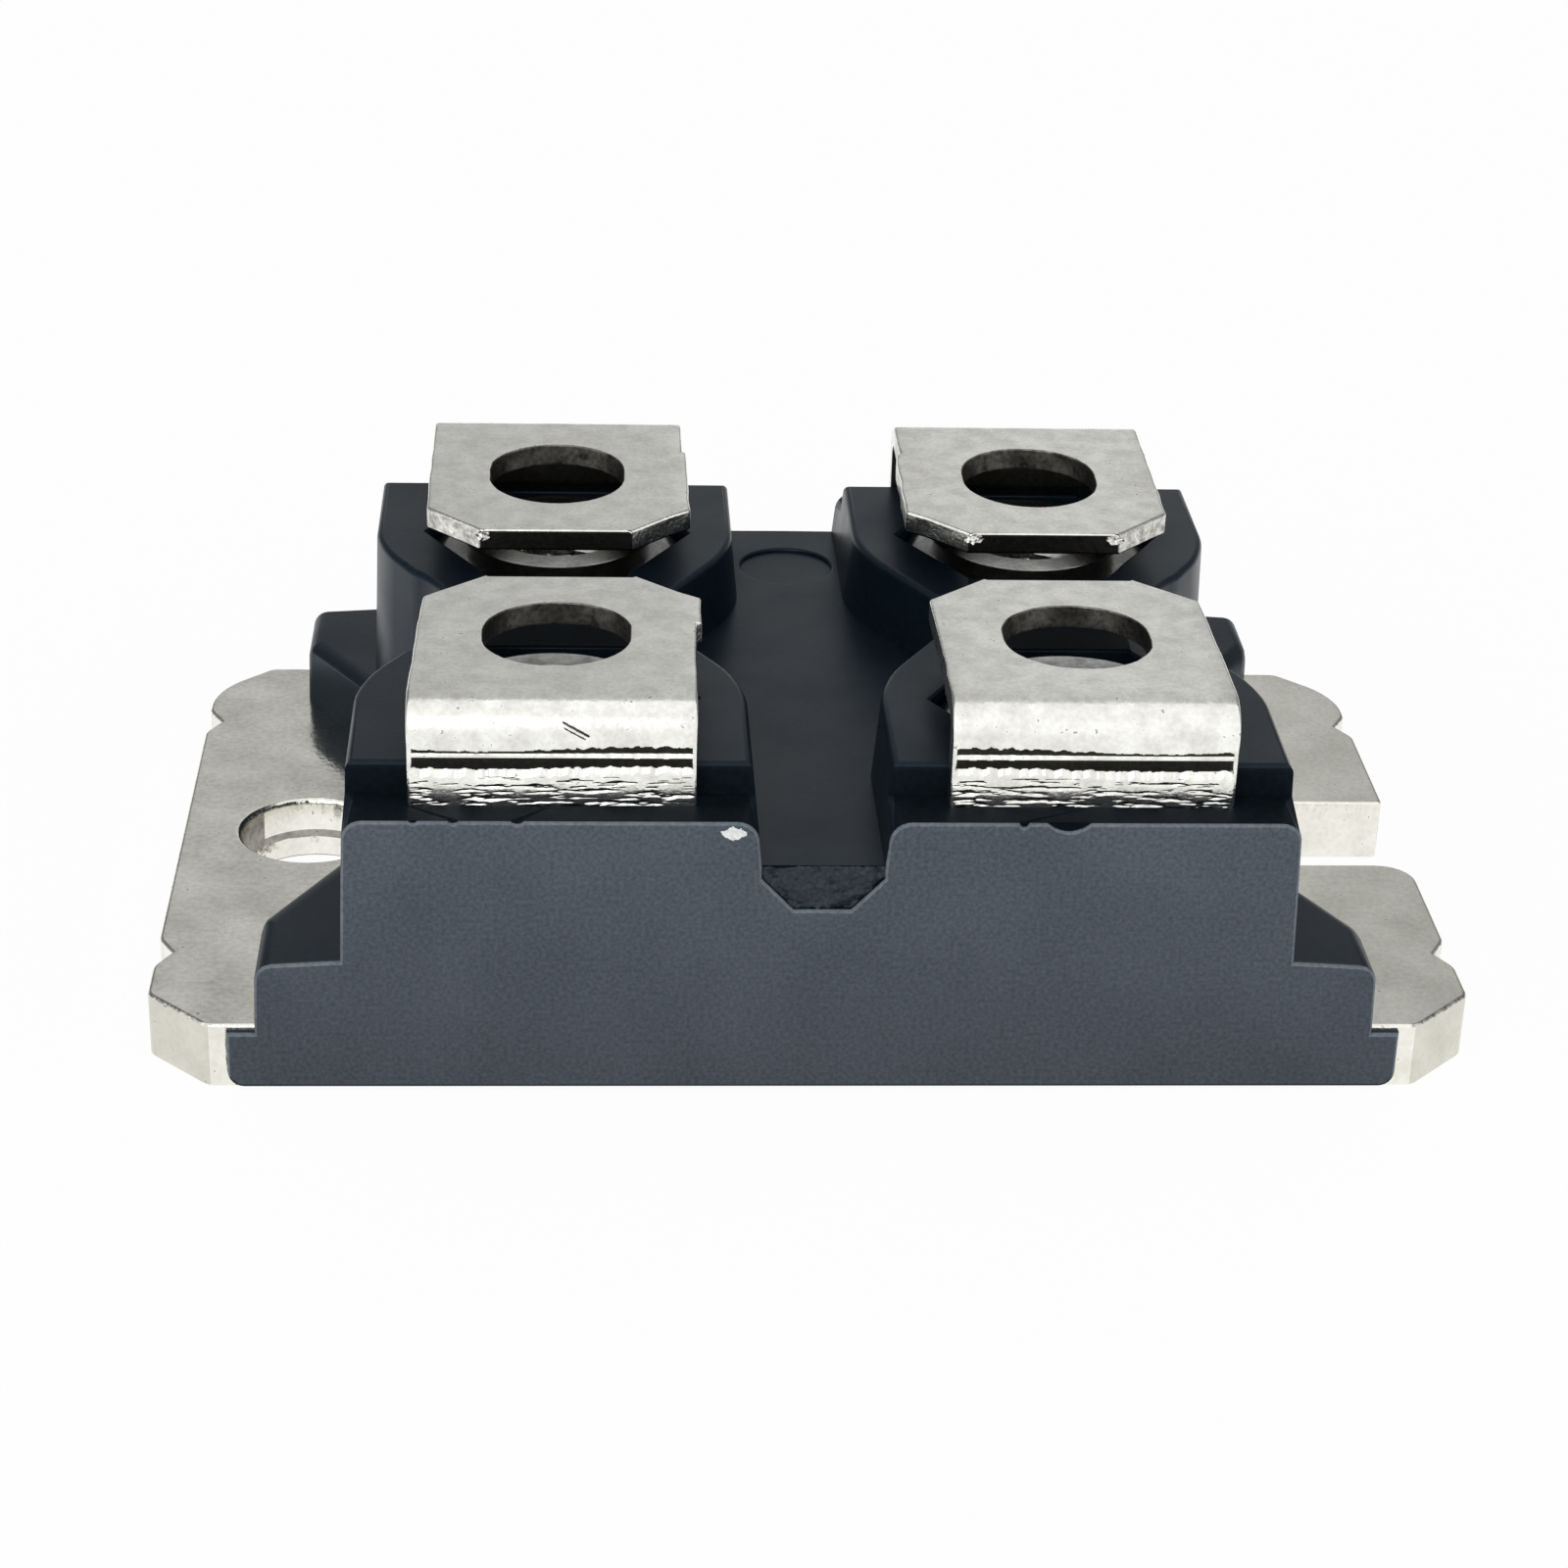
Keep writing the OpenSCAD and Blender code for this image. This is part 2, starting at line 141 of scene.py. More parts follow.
def moulded(name, dark, light, rough, grain_mm, relief_mm, specular, foot=1.0):
    """foot is the share of its colour that a wall has at the bottom, where it is darker as painted shade."""
    material, tree, place = new_material(name)
    grain = add(tree, "ShaderNodeTexNoise", {"Vector": place, "Scale": per_mm(grain_mm), "Detail": 3})
    clouds = add(tree, "ShaderNodeTexNoise", {"Vector": place, "Scale": per_mm(DRIFT_MM), "Detail": 4})
    tint = add(tree, "ShaderNodeMapRange", [grain, 0.32, 0.72, 0.1, 0.7])
    drift = add(tree, "ShaderNodeMapRange", [clouds, 0.3, 0.7, 0.0, 0.25])
    mixed = add(tree, "ShaderNodeMath", [tint, drift], operation="ADD")
    plain = add(tree, "ShaderNodeMix", {0: mixed, 6: linear(dark), 7: linear(light)}, data_type="RGBA")
    z = add(tree, "ShaderNodeSeparateXYZ", [place]).outputs["Z"]
    # Painted shade: the colour darkens towards the foot of a wall.
    foot_shade = add(tree, "ShaderNodeMapRange", [z, 0, WALL_MM * MM, foot, 1.0])
    colour = add(tree, "ShaderNodeMix", {0: 1.0, 6: plain.outputs[2], 7: foot_shade},
                 data_type="RGBA", blend_type="MULTIPLY")
    gloss = add(tree, "ShaderNodeMapRange", [clouds, 0.3, 0.7, rough - 0.06, rough + 0.06])
    bump = add(tree, "ShaderNodeBump", {"Height": grain, "Strength": 0.6, "Distance": relief_mm * MM})
    shader = add(tree, "ShaderNodeBsdfPrincipled", {
        "Base Color": colour.outputs[2], "Roughness": gloss, "Normal": bump,
        "Specular IOR Level": specular, "Specular Tint": linear(COOL_SHEEN)})
    add(tree, "ShaderNodeOutputMaterial", {"Surface": shader})
    return material


print("a wall darkens over the last", WALL_MM, "mm towards its foot")


# %% Epoxy finishes
# Pebbled grain on the long walls: it scatters light, so black epoxy looks slate grey. Its foot is darker as
# painted shade.
epoxy_wall = moulded("epoxy_spark_eroded_grain", "#353a40", "#5a6069",
                     rough=0.6, grain_mm=0.12, relief_mm=0.02, specular=0.3, foot=0.66)
# Rims of those walls: a paler epoxy as a painted highlight, which draws a line around the walls.
epoxy_rim_highlight = moulded("epoxy_painted_rim_highlight", "#4d545b", "#727980",
                    rough=0.5, grain_mm=0.12, relief_mm=0.02, specular=0.3)
# Polished faces: nearly black, with a soft, cool sheen where they mirror the tent.
epoxy_smooth = moulded("epoxy_polished_mould", "#0a121a", "#131f29",
                       rough=0.36, grain_mm=0.2, relief_mm=0.004, specular=0.22)
# Ledges, risers, lower edges of the long walls and tops under the tabs: darker and duller as painted shade, so
# they stay black from every side.
epoxy_shade = moulded("epoxy_painted_shade", "#090e13", "#12191f",
                      rough=0.5, grain_mm=0.2, relief_mm=0.004, specular=0.05)
# The break at the gate: a black, crumbly face with grey crests.
epoxy_broken = moulded("epoxy_broken_gate", "#080a0d", "#2c3238",
                       rough=0.5, grain_mm=0.1, relief_mm=0.05, specular=0.4)
# A chip: nearly white, a painted glint on the broken corner.
epoxy_chip_glint = moulded("epoxy_chip_painted_glint", "#c2c4c4", "#f6f6f2",
                     rough=0.25, grain_mm=0.1, relief_mm=0.02, specular=0.6)
print("epoxy finishes", len(bpy.data.materials), "materials so far")

# %% [markdown]
# ## Nickel plating
# The base plate, the terminals and the nuts are copper or steel with a thin layer of nickel.
# Plating follows the rolled sheet below it, so it has a soft, cloudy gloss with fine pits and a
# slightly warm grey. A metal's colour is its reflection, so metallic is 1 and the IOR stays put.
# Two noises make it, one for clouds and one for pits, and the cut edges need only other colours.
# Real pits are about 0.05 mm wide; they are drawn at 0.14 mm or more so that they show.

# %% A plated finish
STREAK_MM, STREAK_LONG_MM, STREAK_DEEP_MM = 0.3, 2, 0.1
SIDE_LIGHT_MM = 16


def upright_streaks(tree, place, bump):
    """Streaks that run up a punched wall."""
    size = (per_mm(STREAK_MM), per_mm(STREAK_MM), per_mm(STREAK_LONG_MM))
    along = add(tree, "ShaderNodeMapping", {"Vector": place, "Scale": size})
    streaks = add(tree, "ShaderNodeTexNoise", {"Vector": along, "Scale": 1.0, "Detail": 3})
    return add(tree, "ShaderNodeBump", {
        "Height": streaks, "Strength": 0.8, "Distance": STREAK_DEEP_MM * MM, "Normal": bump})


def nickel(name, dark, light, rough, cloud_mm, pit_mm, relief_mm, punched=False, fade=1.0):
    """fade is the share of the light colour that is left at the right end of the part, so the left end looks
    brighter as painted light.
    """
    material, tree, place = new_material(name)
    clouds = add(tree, "ShaderNodeTexNoise", {"Vector": place, "Scale": per_mm(cloud_mm), "Detail": 5})
    pits = add(tree, "ShaderNodeTexNoise", {"Vector": place, "Scale": per_mm(pit_mm), "Detail": 3})
    cloudy = add(tree, "ShaderNodeMapRange", [clouds, 0.35, 0.65, 0, 0.6])
    pitted = add(tree, "ShaderNodeMapRange", [pits, 0.35, 0.65, 0, 0.4])
    blend = add(tree, "ShaderNodeMath", [cloudy, pitted], operation="ADD")
    x = add(tree, "ShaderNodeSeparateXYZ", [place]).outputs["X"]
    # Painted light: the part is brighter at its left end than at its right end.
    side_light = add(tree, "ShaderNodeMapRange", [x, -SIDE_LIGHT_MM * MM, SIDE_LIGHT_MM * MM, 1.0, fade])
    blend = add(tree, "ShaderNodeMath", [blend, side_light], operation="MULTIPLY")
    plain = add(tree, "ShaderNodeMix", {0: blend, 6: linear(dark), 7: linear(light)}, data_type="RGBA")
    deep_pits = add(tree, "ShaderNodeMapRange", [pits, 0.68, 0.72, 1.0, 0.45])
    colour = add(tree, "ShaderNodeMix", {0: 1.0, 6: plain.outputs[2], 7: deep_pits},
                 data_type="RGBA", blend_type="MULTIPLY")
    gloss = add(tree, "ShaderNodeMapRange", [clouds, 0.3, 0.7, rough + 0.06, rough - 0.05])
    bump = add(tree, "ShaderNodeBump", {"Height": pits, "Strength": 0.5, "Distance": relief_mm * MM})
    if punched:
        bump = upright_streaks(tree, place, bump)
    shader = add(tree, "ShaderNodeBsdfPrincipled", {
        "Base Color": colour.outputs[2], "Roughness": gloss, "Normal": bump, "Metallic": 1})
    add(tree, "ShaderNodeOutputMaterial", {"Surface": shader})
    return material


print("streaks of the punch are", STREAK_MM, "mm wide")


# %% Nickel finishes
# Rolled plate: a satin grey with soft smears, a little brighter at the hole's end as painted light.
plate_nickel = nickel("satin_nickel_plate", "#cccac0", "#fffff6",
                      rough=0.15, cloud_mm=2.2, pit_mm=0.2, relief_mm=0.012, fade=0.6)
# Punched wall: bright and burnished, with upright streaks from the punch.
punched_nickel = nickel("punched_nickel_wall", "#e6e4da", "#faf8f0",
                        rough=0.22, cloud_mm=1.2, pit_mm=0.2, relief_mm=0.02, punched=True)
# Cut corner: even and a little warmer than the walls beside it.
corner_nickel = nickel("dull_nickel_corner", "#cfcdc1", "#e0ded2",
                       rough=0.25, cloud_mm=1.2, pit_mm=0.2, relief_mm=0.02)
# Terminal sheet: paler than the plate, with small clouds and pits.
terminal_nickel = nickel("satin_nickel_terminal", "#dddcd6", "#fffff9",
                         rough=0.18, cloud_mm=0.7, pit_mm=0.16, relief_mm=0.016)
# Sheared edge: dark grains and bright burnished specks side by side.
sheared_nickel = nickel("sheared_sheet_edge", "#7d7b76", "#fbf9f3",
                        rough=0.25, cloud_mm=0.4, pit_mm=0.14, relief_mm=0.03)
# Torn wall: rough mid grey, where the punched metal broke off. It is painted shade on the groove's face that
# looks down, and it makes the hole's left wall darker.
torn_and_shade_nickel = nickel("torn_hole_wall_painted_shade", "#7b7872", "#b0ada6",
                     rough=0.35, cloud_mm=0.6, pit_mm=0.16, relief_mm=0.03)
# Wall and rim of a tab's hole: dark and rough, as painted shade.
hole_shade_nickel = nickel("shaded_hole_wall", "#3a3835", "#8f8c86",
                     rough=0.35, cloud_mm=0.5, pit_mm=0.16, relief_mm=0.03)
# Nearly black nickel: painted shade inside the fold, under the tabs and on the free ends, a painted reflection
# on dent faces that lean down, and the colour of the scratches.
shade_and_scratch_nickel = nickel("dull_nickel_painted_shade_and_scratch", "#2b2a28", "#474642",
                       rough=0.4, cloud_mm=0.8, pit_mm=0.16, relief_mm=0.016)
# Nut: nickel with a clean gloss, its grey darkened as painted shade from the tab above.
nut_shaded_nickel = nickel("nickel_nut_painted_shade", "#9c9d9b", "#c4c5c3",
                    rough=0.2, cloud_mm=0.6, pit_mm=0.15, relief_mm=0.005)
print("with nickel", len(bpy.data.materials), "materials")

# %% [markdown]
# ## Hidden materials
# The chip and its substrate are sealed in the epoxy. They could be left plain, but the part should
# also look right when somebody cuts it open. One cloudy noise gives each its colour and its gloss.

# %% Materials of the sealed pieces
def hidden(name, dark, light, rough, metallic, cloud_mm):
    material, tree, place = new_material(name)
    clouds = add(tree, "ShaderNodeTexNoise", {"Vector": place, "Scale": per_mm(cloud_mm), "Detail": 4})
    colour = add(tree, "ShaderNodeMix", {0: clouds, 6: linear(dark), 7: linear(light)}, data_type="RGBA")
    gloss = add(tree, "ShaderNodeMapRange", [clouds, 0, 1, rough - 0.08, rough + 0.08])
    shader = add(tree, "ShaderNodeBsdfPrincipled", {
        "Base Color": colour.outputs[2], "Roughness": gloss, "Metallic": metallic})
    add(tree, "ShaderNodeOutputMaterial", {"Surface": shader})
    return material


# Copper: a warm pink metal with a soft gloss, not yet tarnished.
copper = hidden("bare_copper", "#a9694a", "#c98a66", rough=0.35, metallic=1, cloud_mm=0.8)
# Alumina: a chalky white ceramic.
alumina = hidden("white_alumina", "#dcd9d0", "#efece4", rough=0.6, metallic=0, cloud_mm=0.5)
# Solder: a dull grey metal with a frosty skin.
solder = hidden("dull_solder", "#8f9094", "#b4b5b8", rough=0.45, metallic=1, cloud_mm=0.6)
# Silicon: a dark blue-grey with a polished gloss.
silicon = hidden("polished_silicon", "#4a4d57", "#5c606c", rough=0.2, metallic=0, cloud_mm=1.5)
# Aluminium: a pale, soft metal, rubbed by the bonding tool.
aluminium = hidden("soft_aluminium_ribbon", "#c4c6c9", "#dcdee0", rough=0.3, metallic=1, cloud_mm=0.4)
HIDDEN = {
    "plate_solder": solder, "die_solder": solder, "foot_solder": solder,
    "bottom_copper": copper, "source_pad": copper, "drain_pad": copper, "gate_pad": copper,
    "ceramic_substrate": alumina, "transistor_die": silicon,
    "source_ribbons": aluminium, "gate_ribbon": aluminium,
}
for name, material in HIDDEN.items():
    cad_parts[name].data.materials.clear()
    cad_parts[name].data.materials.append(material)
print("finished", len(HIDDEN), "sealed pieces")

# %% [markdown]
# ## Copies of the CAD solids
# CAD edges are perfectly sharp, and no real edge is. The pieces could be modelled again, but a copy
# of the CAD mesh keeps every size. It is merged and its flat faces are joined, so that one edge of
# the object is one edge of the mesh. A mesh face can't have a hole, so a seam is cut through each
# hole first.

# %% Merge and cut a copy
ACROSS, ALONG, UP = (1, 0, 0), (0, 1, 0), (0, 0, 1)


def near(value, target, slack=0.04):
    return abs(value - target) < slack


def reopened(mesh):
    shape = bmesh.new()
    shape.from_mesh(mesh)
    return shape


def cut(shape, place_mm, normal, faces=None):
    """Cuts the faces, or all of them, along a plane."""
    faces = shape.faces[:] if faces is None else faces
    touching = [part for face in faces for part in face.edges[:] + face.verts[:]]
    return bmesh.ops.bisect_plane(
        shape, geom=faces + list(dict.fromkeys(touching)), dist=0.0005 * MM,
        plane_co=Vector(place_mm) * MM, plane_no=normal)["geom_cut"]


def cad_copy(node, *seams):
    """The CAD mesh with flat faces joined. seams are planes (point in mm, normal) through its holes."""
    shape = reopened(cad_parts[node].data)
    bmesh.ops.remove_doubles(shape, verts=shape.verts, dist=0.002 * MM)
    for place, normal in seams:
        for made in cut(shape, place, normal):
            if isinstance(made, bmesh.types.BMEdge):
                made.seam = True
    bmesh.ops.dissolve_limit(shape, angle_limit=math.radians(1), verts=shape.verts, edges=shape.edges,
                             delimit={"SEAM"})
    print(node, "has", len(shape.faces), "flat faces")
    return shape


print("the housing has", len(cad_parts["moulded_housing"].data.polygons), "triangles in the CAD frame")


# %% [markdown]
# ## Rounding
# Each edge gets a bevel weight from the width of its rounding, and one Bevel modifier rounds them
# all in one go. That is quicker than rounding by hand and can be changed later. Where a wide corner
# meets a narrow rim, the corner has to be rounded first and the rim in a second pass.

# %% Round, shade and hand over
SEGMENTS = 6
WIDEST_MM = 1.5
EDGE_ANGLE, SHARP_ANGLE = math.radians(20), math.radians(25)


def evaluated(shape, kind, **settings):
    """The mesh of a shape after one modifier."""
    mesh = bpy.data.meshes.new("raw")
    shape.to_mesh(mesh)
    shape.free()
    raw = bpy.data.objects.new("raw", mesh)
    bpy.context.scene.collection.objects.link(raw)
    modifier = raw.modifiers.new("step", kind)
    for name, value in settings.items():
        setattr(modifier, name, value)
    bpy.context.view_layer.update()
    made = bpy.data.meshes.new_from_object(raw.evaluated_get(bpy.context.evaluated_depsgraph_get()))
    bpy.data.objects.remove(raw)
    return made


def rounded(shape, width_mm):
    """Bevels convex edges. width_mm(a, b, angle) is the width on each side of an edge from a to b."""
    layers = shape.edges.layers.float
    weight = layers.get("bevel_weight_edge") or layers.new("bevel_weight_edge")
    for edge in shape.edges:
        edge[weight] = 0
        if len(edge.link_faces) == 2 and edge.is_convex and edge.calc_face_angle() > EDGE_ANGLE:
            width = width_mm(edge.verts[0].co / MM, edge.verts[1].co / MM, edge.calc_face_angle())
            edge[weight] = width / WIDEST_MM
    print(sum(edge[weight] > 0 for edge in shape.edges), "edges rounded")
    return reopened(evaluated(shape, "BEVEL", limit_method="WEIGHT", width=WIDEST_MM * MM,
                              segments=SEGMENTS, use_clamp_overlap=False))


def shaded(shape):
    """Smooth shading over roundings. Flat faces keep their own normal, so that they look flat."""
    for face in shape.faces:
        face.smooth = True
    for edge in shape.edges:
        edge.smooth = len(edge.link_faces) == 2 and edge.calc_face_angle() < SHARP_ANGLE
    return evaluated(shape, "WEIGHTED_NORMAL", keep_sharp=True)


def piece(name, mesh, materials, node=None, choose=None):
    """Hands a mesh over as a piece. choose(centre, normal) picks the number of a face's material."""
    mesh.materials.clear()
    for material in materials:
        mesh.materials.append(material)
    for face in mesh.polygons:
        face.material_index = choose(face.center / MM, face.normal) if choose else 0
    obj = bpy.data.objects.new(name, mesh)
    bpy.context.scene.collection.objects.link(obj)
    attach(obj, "root")
    if node:
        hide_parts(node)
    print(name, len(mesh.polygons), "faces")


print("a rounding has", SEGMENTS, "segments")


# %% [markdown]
# ## Housing
# The mould was cut with rounded corners: wide sweeps where the towers' flanks turn, larger radii at
# the tower ends and small ones along the rims. Picking the edges by hand would work once, so two
# functions find them by their place instead, and they still do after a change of the CAD model.
# Edges inside the moulding, where the chip lies, and the slots of the terminals stay as they are.

# %% Roundings of the housing
# Heights of the plate, shoulders, trough, ledges and tower tops, then where the walls stand, in mm.
PLATE_TOP, SHOULDER, FLOOR, LEDGE, TOP = 2.0, 4.0, 7.1, 8.5, 9.45
WALL_Y, RISER_Y, FLANK_Y, END_Y = 12.6, 10.7, 9.9, 11
SCREW = Vector((7.5, 6.35))
CHIP_ROOM_X, SHEET_SLOT_HALF, POCKET_REACH = 10.6, 4.1, 4.3
# Widths of the roundings: corners first, then rims.
FLANK_R, TIP_W, SLOT_END_W, HOLE_END_W, WALL_END_W, LEDGE_END_W = 5, 0.6, 0.8, 0.25, 0.45, 0.55
WALL_RIM_W, POCKET_RIM_W, TOWER_RIM_W, TROUGH_RIM_W, SHOULDER_RIM_W = 0.15, 0.1, 0.2, 0.1, 0.12


def housing_corner(a, b, angle):
    """The corners that a mould maker mills first: upright ones and those at the ends of the walls."""
    mid = (a + b) / 2
    x, y, z = abs(mid.x), abs(mid.y), mid.z
    if near(a.z, b.z, 0.01):
        if not near(a.x, b.x, 0.01):
            return 0
        if z < 0.2 or near(z, SHOULDER, 0.1):
            return WALL_END_W
        beside_sheet = abs(x - SCREW.x) > SHEET_SLOT_HALF
        return LEDGE_END_W if near(z, LEDGE) and y > RISER_Y and beside_sheet else 0
    if z < PLATE_TOP or (x < CHIP_ROOM_X and z < FLOOR - 0.2):
        return 0
    if y < FLANK_Y and angle < math.radians(45) and z > SHOULDER:
        return FLANK_R * math.tan(angle / 2)
    if x < 5 and y < 2:
        return TIP_W
    if y < END_Y and z < SHOULDER + 0.1:
        return SLOT_END_W if mid.x > 0 else HOLE_END_W
    return 0


def housing_rim(a, b, angle):
    """The rims around the long walls, the tower tops, the trough and the shoulders."""
    mid = (a + b) / 2
    x, y, z = abs(mid.x), abs(mid.y), mid.z
    if near(abs(a.y), WALL_Y, 0.01) and near(a.y, b.y, 0.01):
        return WALL_RIM_W
    if not near(a.z, b.z, 0.01):
        return 0
    if near(z, TOP):
        return POCKET_RIM_W if (Vector((x, y)) - SCREW).length < POCKET_REACH else TOWER_RIM_W
    if near(z, FLOOR) and y < 12:
        return TROUGH_RIM_W
    return SHOULDER_RIM_W if near(z, SHOULDER + 0.08, 0.12) else 0


hole_seams = [((x, 0, 0), ACROSS) for x in (-SCREW.x, 0, SCREW.x)]
housing_shape = rounded(rounded(cad_copy("moulded_housing", *hole_seams), housing_corner), housing_rim)

# %% [markdown]
# ## Front rim and finish of the housing
# Flash, the thin skin of epoxy that creeps between two halves of a mould, broke off the front rim
# and took small bites with it. A displaced texture would bend the whole wall, so only the rim is cut
# more finely and lowered. Each face then gets its finish from its place and the way it points: the
# rims of the long walls a paler epoxy as a painted highlight, and the ledges, risers, lower edges
# and the tops under the tabs a darker one as painted shade.

# %% Bites in the rim, and finish
DIPS = ((-11.3, 0.12, 0.06), (-10.2, 0.15, 0.06), (-8.45, 0.18, 0.08), (5.5, 0.14, 0.12), (6.75, 0.6, 0.25))
DIP_CUTS = 5
SKIN_Y = WALL_Y - 0.2
UNDER_TAB = 2.2


def on_front_rim(vert):
    return vert.co.y < -SKIN_Y * MM and LEDGE - 0.2 < vert.co.z / MM < LEDGE + 0.01


def dipped(shape):
    """Lowers the rim of the front wall where flash broke off. A dip is its x, half width and depth."""
    steps = range(-DIP_CUTS, DIP_CUTS + 1)
    for x in [middle + half * step / DIP_CUTS for middle, half, _ in DIPS for step in steps]:
        rim = [face for face in shape.faces if all(on_front_rim(vert) for vert in face.verts)]
        cut(shape, (x, 0, 0), ACROSS, rim)
    for vert in shape.verts:
        if on_front_rim(vert):
            for middle, half, depth in DIPS:
                off = (vert.co.x / MM - middle) / half
                vert.co.z -= depth * max(0, 1 - off * off) * MM
    return shape


def housing_material(centre, normal):
    """0 is a polished face, 1 a long wall, 2 a ledge, a riser, a lower edge or a top under a tab, darker as
    painted shade, and 3 a wall's rim, paler as a painted highlight.
    """
    if abs(centre.y) > SKIN_Y and abs(normal.y) > 0.2:
        # Painted shadow: the rounded lower edges of the long walls are dark.
        if normal.z < -0.2:
            return 2
        # Painted highlight: the rounded rims of the long walls get the paler epoxy.
        return 3 if 0.35 < abs(normal.y) < 0.85 else 1
    # Painted shade: the tower tops under the tabs get the darker epoxy.
    if near(centre.z, TOP) and abs(abs(centre.x) - SCREW.x) < UNDER_TAB:
        return 2
    # Painted shade: ledges and risers get the darker epoxy.
    return 2 if abs(centre.y) > RISER_Y and LEDGE - 0.1 < centre.z < TOP - 0.05 else 0


# Cuts at the tabs' sides, so that the tops under the tabs can take the painted shade.
for x in (-SCREW.x - UNDER_TAB, UNDER_TAB - SCREW.x, SCREW.x - UNDER_TAB, SCREW.x + UNDER_TAB):
    cut(housing_shape, (x, 0, 0), ACROSS)
piece("moulded_housing_skin", shaded(dipped(housing_shape)),
      [epoxy_smooth, epoxy_wall, epoxy_shade, epoxy_rim_highlight],
      "moulded_housing", housing_material)

# %% [markdown]
# ## Broken gate
# The epoxy entered the mould through a gate in the middle of the front wall, and the sprue was
# snapped off. Bump in a material would leave the break's outline straight, so a fine grid is pushed
# in and out by noise. The corner beside it lost a flake, painted nearly white as a glint.

# %% A grid that follows a rule
def relief(shape, low, high, cell, surface, keep=None, flip=False):
    """Adds a grid from low to high, in mm. surface(u, v) gives its points and keep(u, v) its cells."""
    count = [round((high[i] - low[i]) / cell[i]) for i in (0, 1)]
    step = [(high[i] - low[i]) / count[i] for i in (0, 1)]
    made = {}
    for i in range(count[0]):
        for k in range(count[1]):
            if keep and not keep(low[0] + (i + 0.5) * step[0], low[1] + (k + 0.5) * step[1]):
                continue
            ring = []
            for at in ((i, k), (i + 1, k), (i + 1, k + 1), (i, k + 1)):
                if at not in made:
                    u, v = low[0] + at[0] * step[0], low[1] + at[1] * step[1]
                    made[at] = shape.verts.new(Vector(surface(u, v)) * MM)
                ring.append(made[at])
            shape.faces.new(reversed(ring) if flip else ring).smooth = True
    return shape


def patch(name, low, high, cell, surface, keep, material):
    mesh = bpy.data.meshes.new(name)
    shape = relief(bmesh.new(), low, high, (cell, cell), surface, keep)
    shape.to_mesh(mesh)
    shape.free()
    piece(name, mesh, [material])


sample = relief(bmesh.new(), (0, 0), (1, 1), (0.25, 0.25), lambda u, v: (u, v, 0))
print("1 mm in cells of 0.25 mm makes", len(sample.faces), "faces")
sample.free()


# %% Rough patches of epoxy
GATE_HALF, GATE_FOOT, GATE_Y = 1.7, 5.82, -12.4
CHIP_X, CHIP_Z, CHIP_Y = -2.52, 8.2, -12.61


def crumbs(x, z, size_mm):
    return noise.fractal(Vector((x / size_mm, z / size_mm, 1.7)), 0.6, 2.1, 4)


def in_gate(x, z):
    """The notch in the front wall, narrower at its foot, with a ragged edge."""
    ragged = 0.06 * noise.noise(Vector((x * 5, z * 5, 0)))
    return z > GATE_FOOT + ragged and abs(x) < min(GATE_HALF, z - 5.0 + ragged)


def in_chip(x, z):
    """A ragged lens of 0.76 by 0.4 mm at the corner of the notch."""
    ragged = 0.5 * noise.noise(Vector((x * 8, z * 8, 0)))
    return (abs(x - CHIP_X) / 0.38) ** 1.4 + (abs(z - CHIP_Z) / 0.2) ** 1.4 < 1 + ragged


patch("broken_gate", (-1.72, 5.75), (1.72, 7.08), 0.045,
      lambda x, z: (x, GATE_Y - 0.1 * crumbs(x, z, 0.33), z), in_gate, epoxy_broken)
# The chip is nearly white: a painted glint.
patch("chipped_corner", (-3.05, 7.95), (-2.1, 8.45), 0.03,
      lambda x, z: (x, CHIP_Y - 0.012 * crumbs(x, z, 0.2), z), in_chip, epoxy_chip_glint)

# %% [markdown]
# ## Base plate
# The plate is punched from strip. Punching rolls the upper edge over and leaves the lower one
# crisp, so the top edges get the larger radius. Half-way down, the wall of the hole turns from a
# burnished band into a torn one. A picture could show that line, but a groove in the mesh also
# catches the light, so three cuts around the plate make it and the middle one is pushed in.

# %% Roundings of the plate
PLATE_END, CORNER_Y, SLOT_Y = 19.05, 10.5, -2.2
SHEAR_Z, SHEAR_HALF, SHEAR_DEEP, SHEAR_FROM_Y = 0.65, 0.28, 0.08, 0.6
# Widths of the roundings: the worn corners and other upright edges, then lower, upper and hole rims.
WORN_W, UPRIGHT_W, LOWER_W, UPPER_W, HOLE_W = 1.1, 0.2, 0.05, 0.12, 0.2


def at_mounting_hole(p):
    return abs(p.y) < 2.4 and -18 < p.x < -10


def plate_corner(a, b, angle):
    mid = (a + b) / 2
    if near(a.z, b.z, 0.01):
        return 0
    if near(abs(mid.x), PLATE_END) and near(mid.y, CORNER_Y):
        return WORN_W
    return WORN_W if near(mid.x, PLATE_END) and near(mid.y, SLOT_Y) else UPRIGHT_W


def plate_rim(a, b, angle):
    if not near(a.z, b.z, 0.01) or 0.1 < a.z < PLATE_TOP - 0.1:
        return 0
    if a.z < 0.1:
        return LOWER_W
    return HOLE_W if at_mounting_hole(a) else UPPER_W


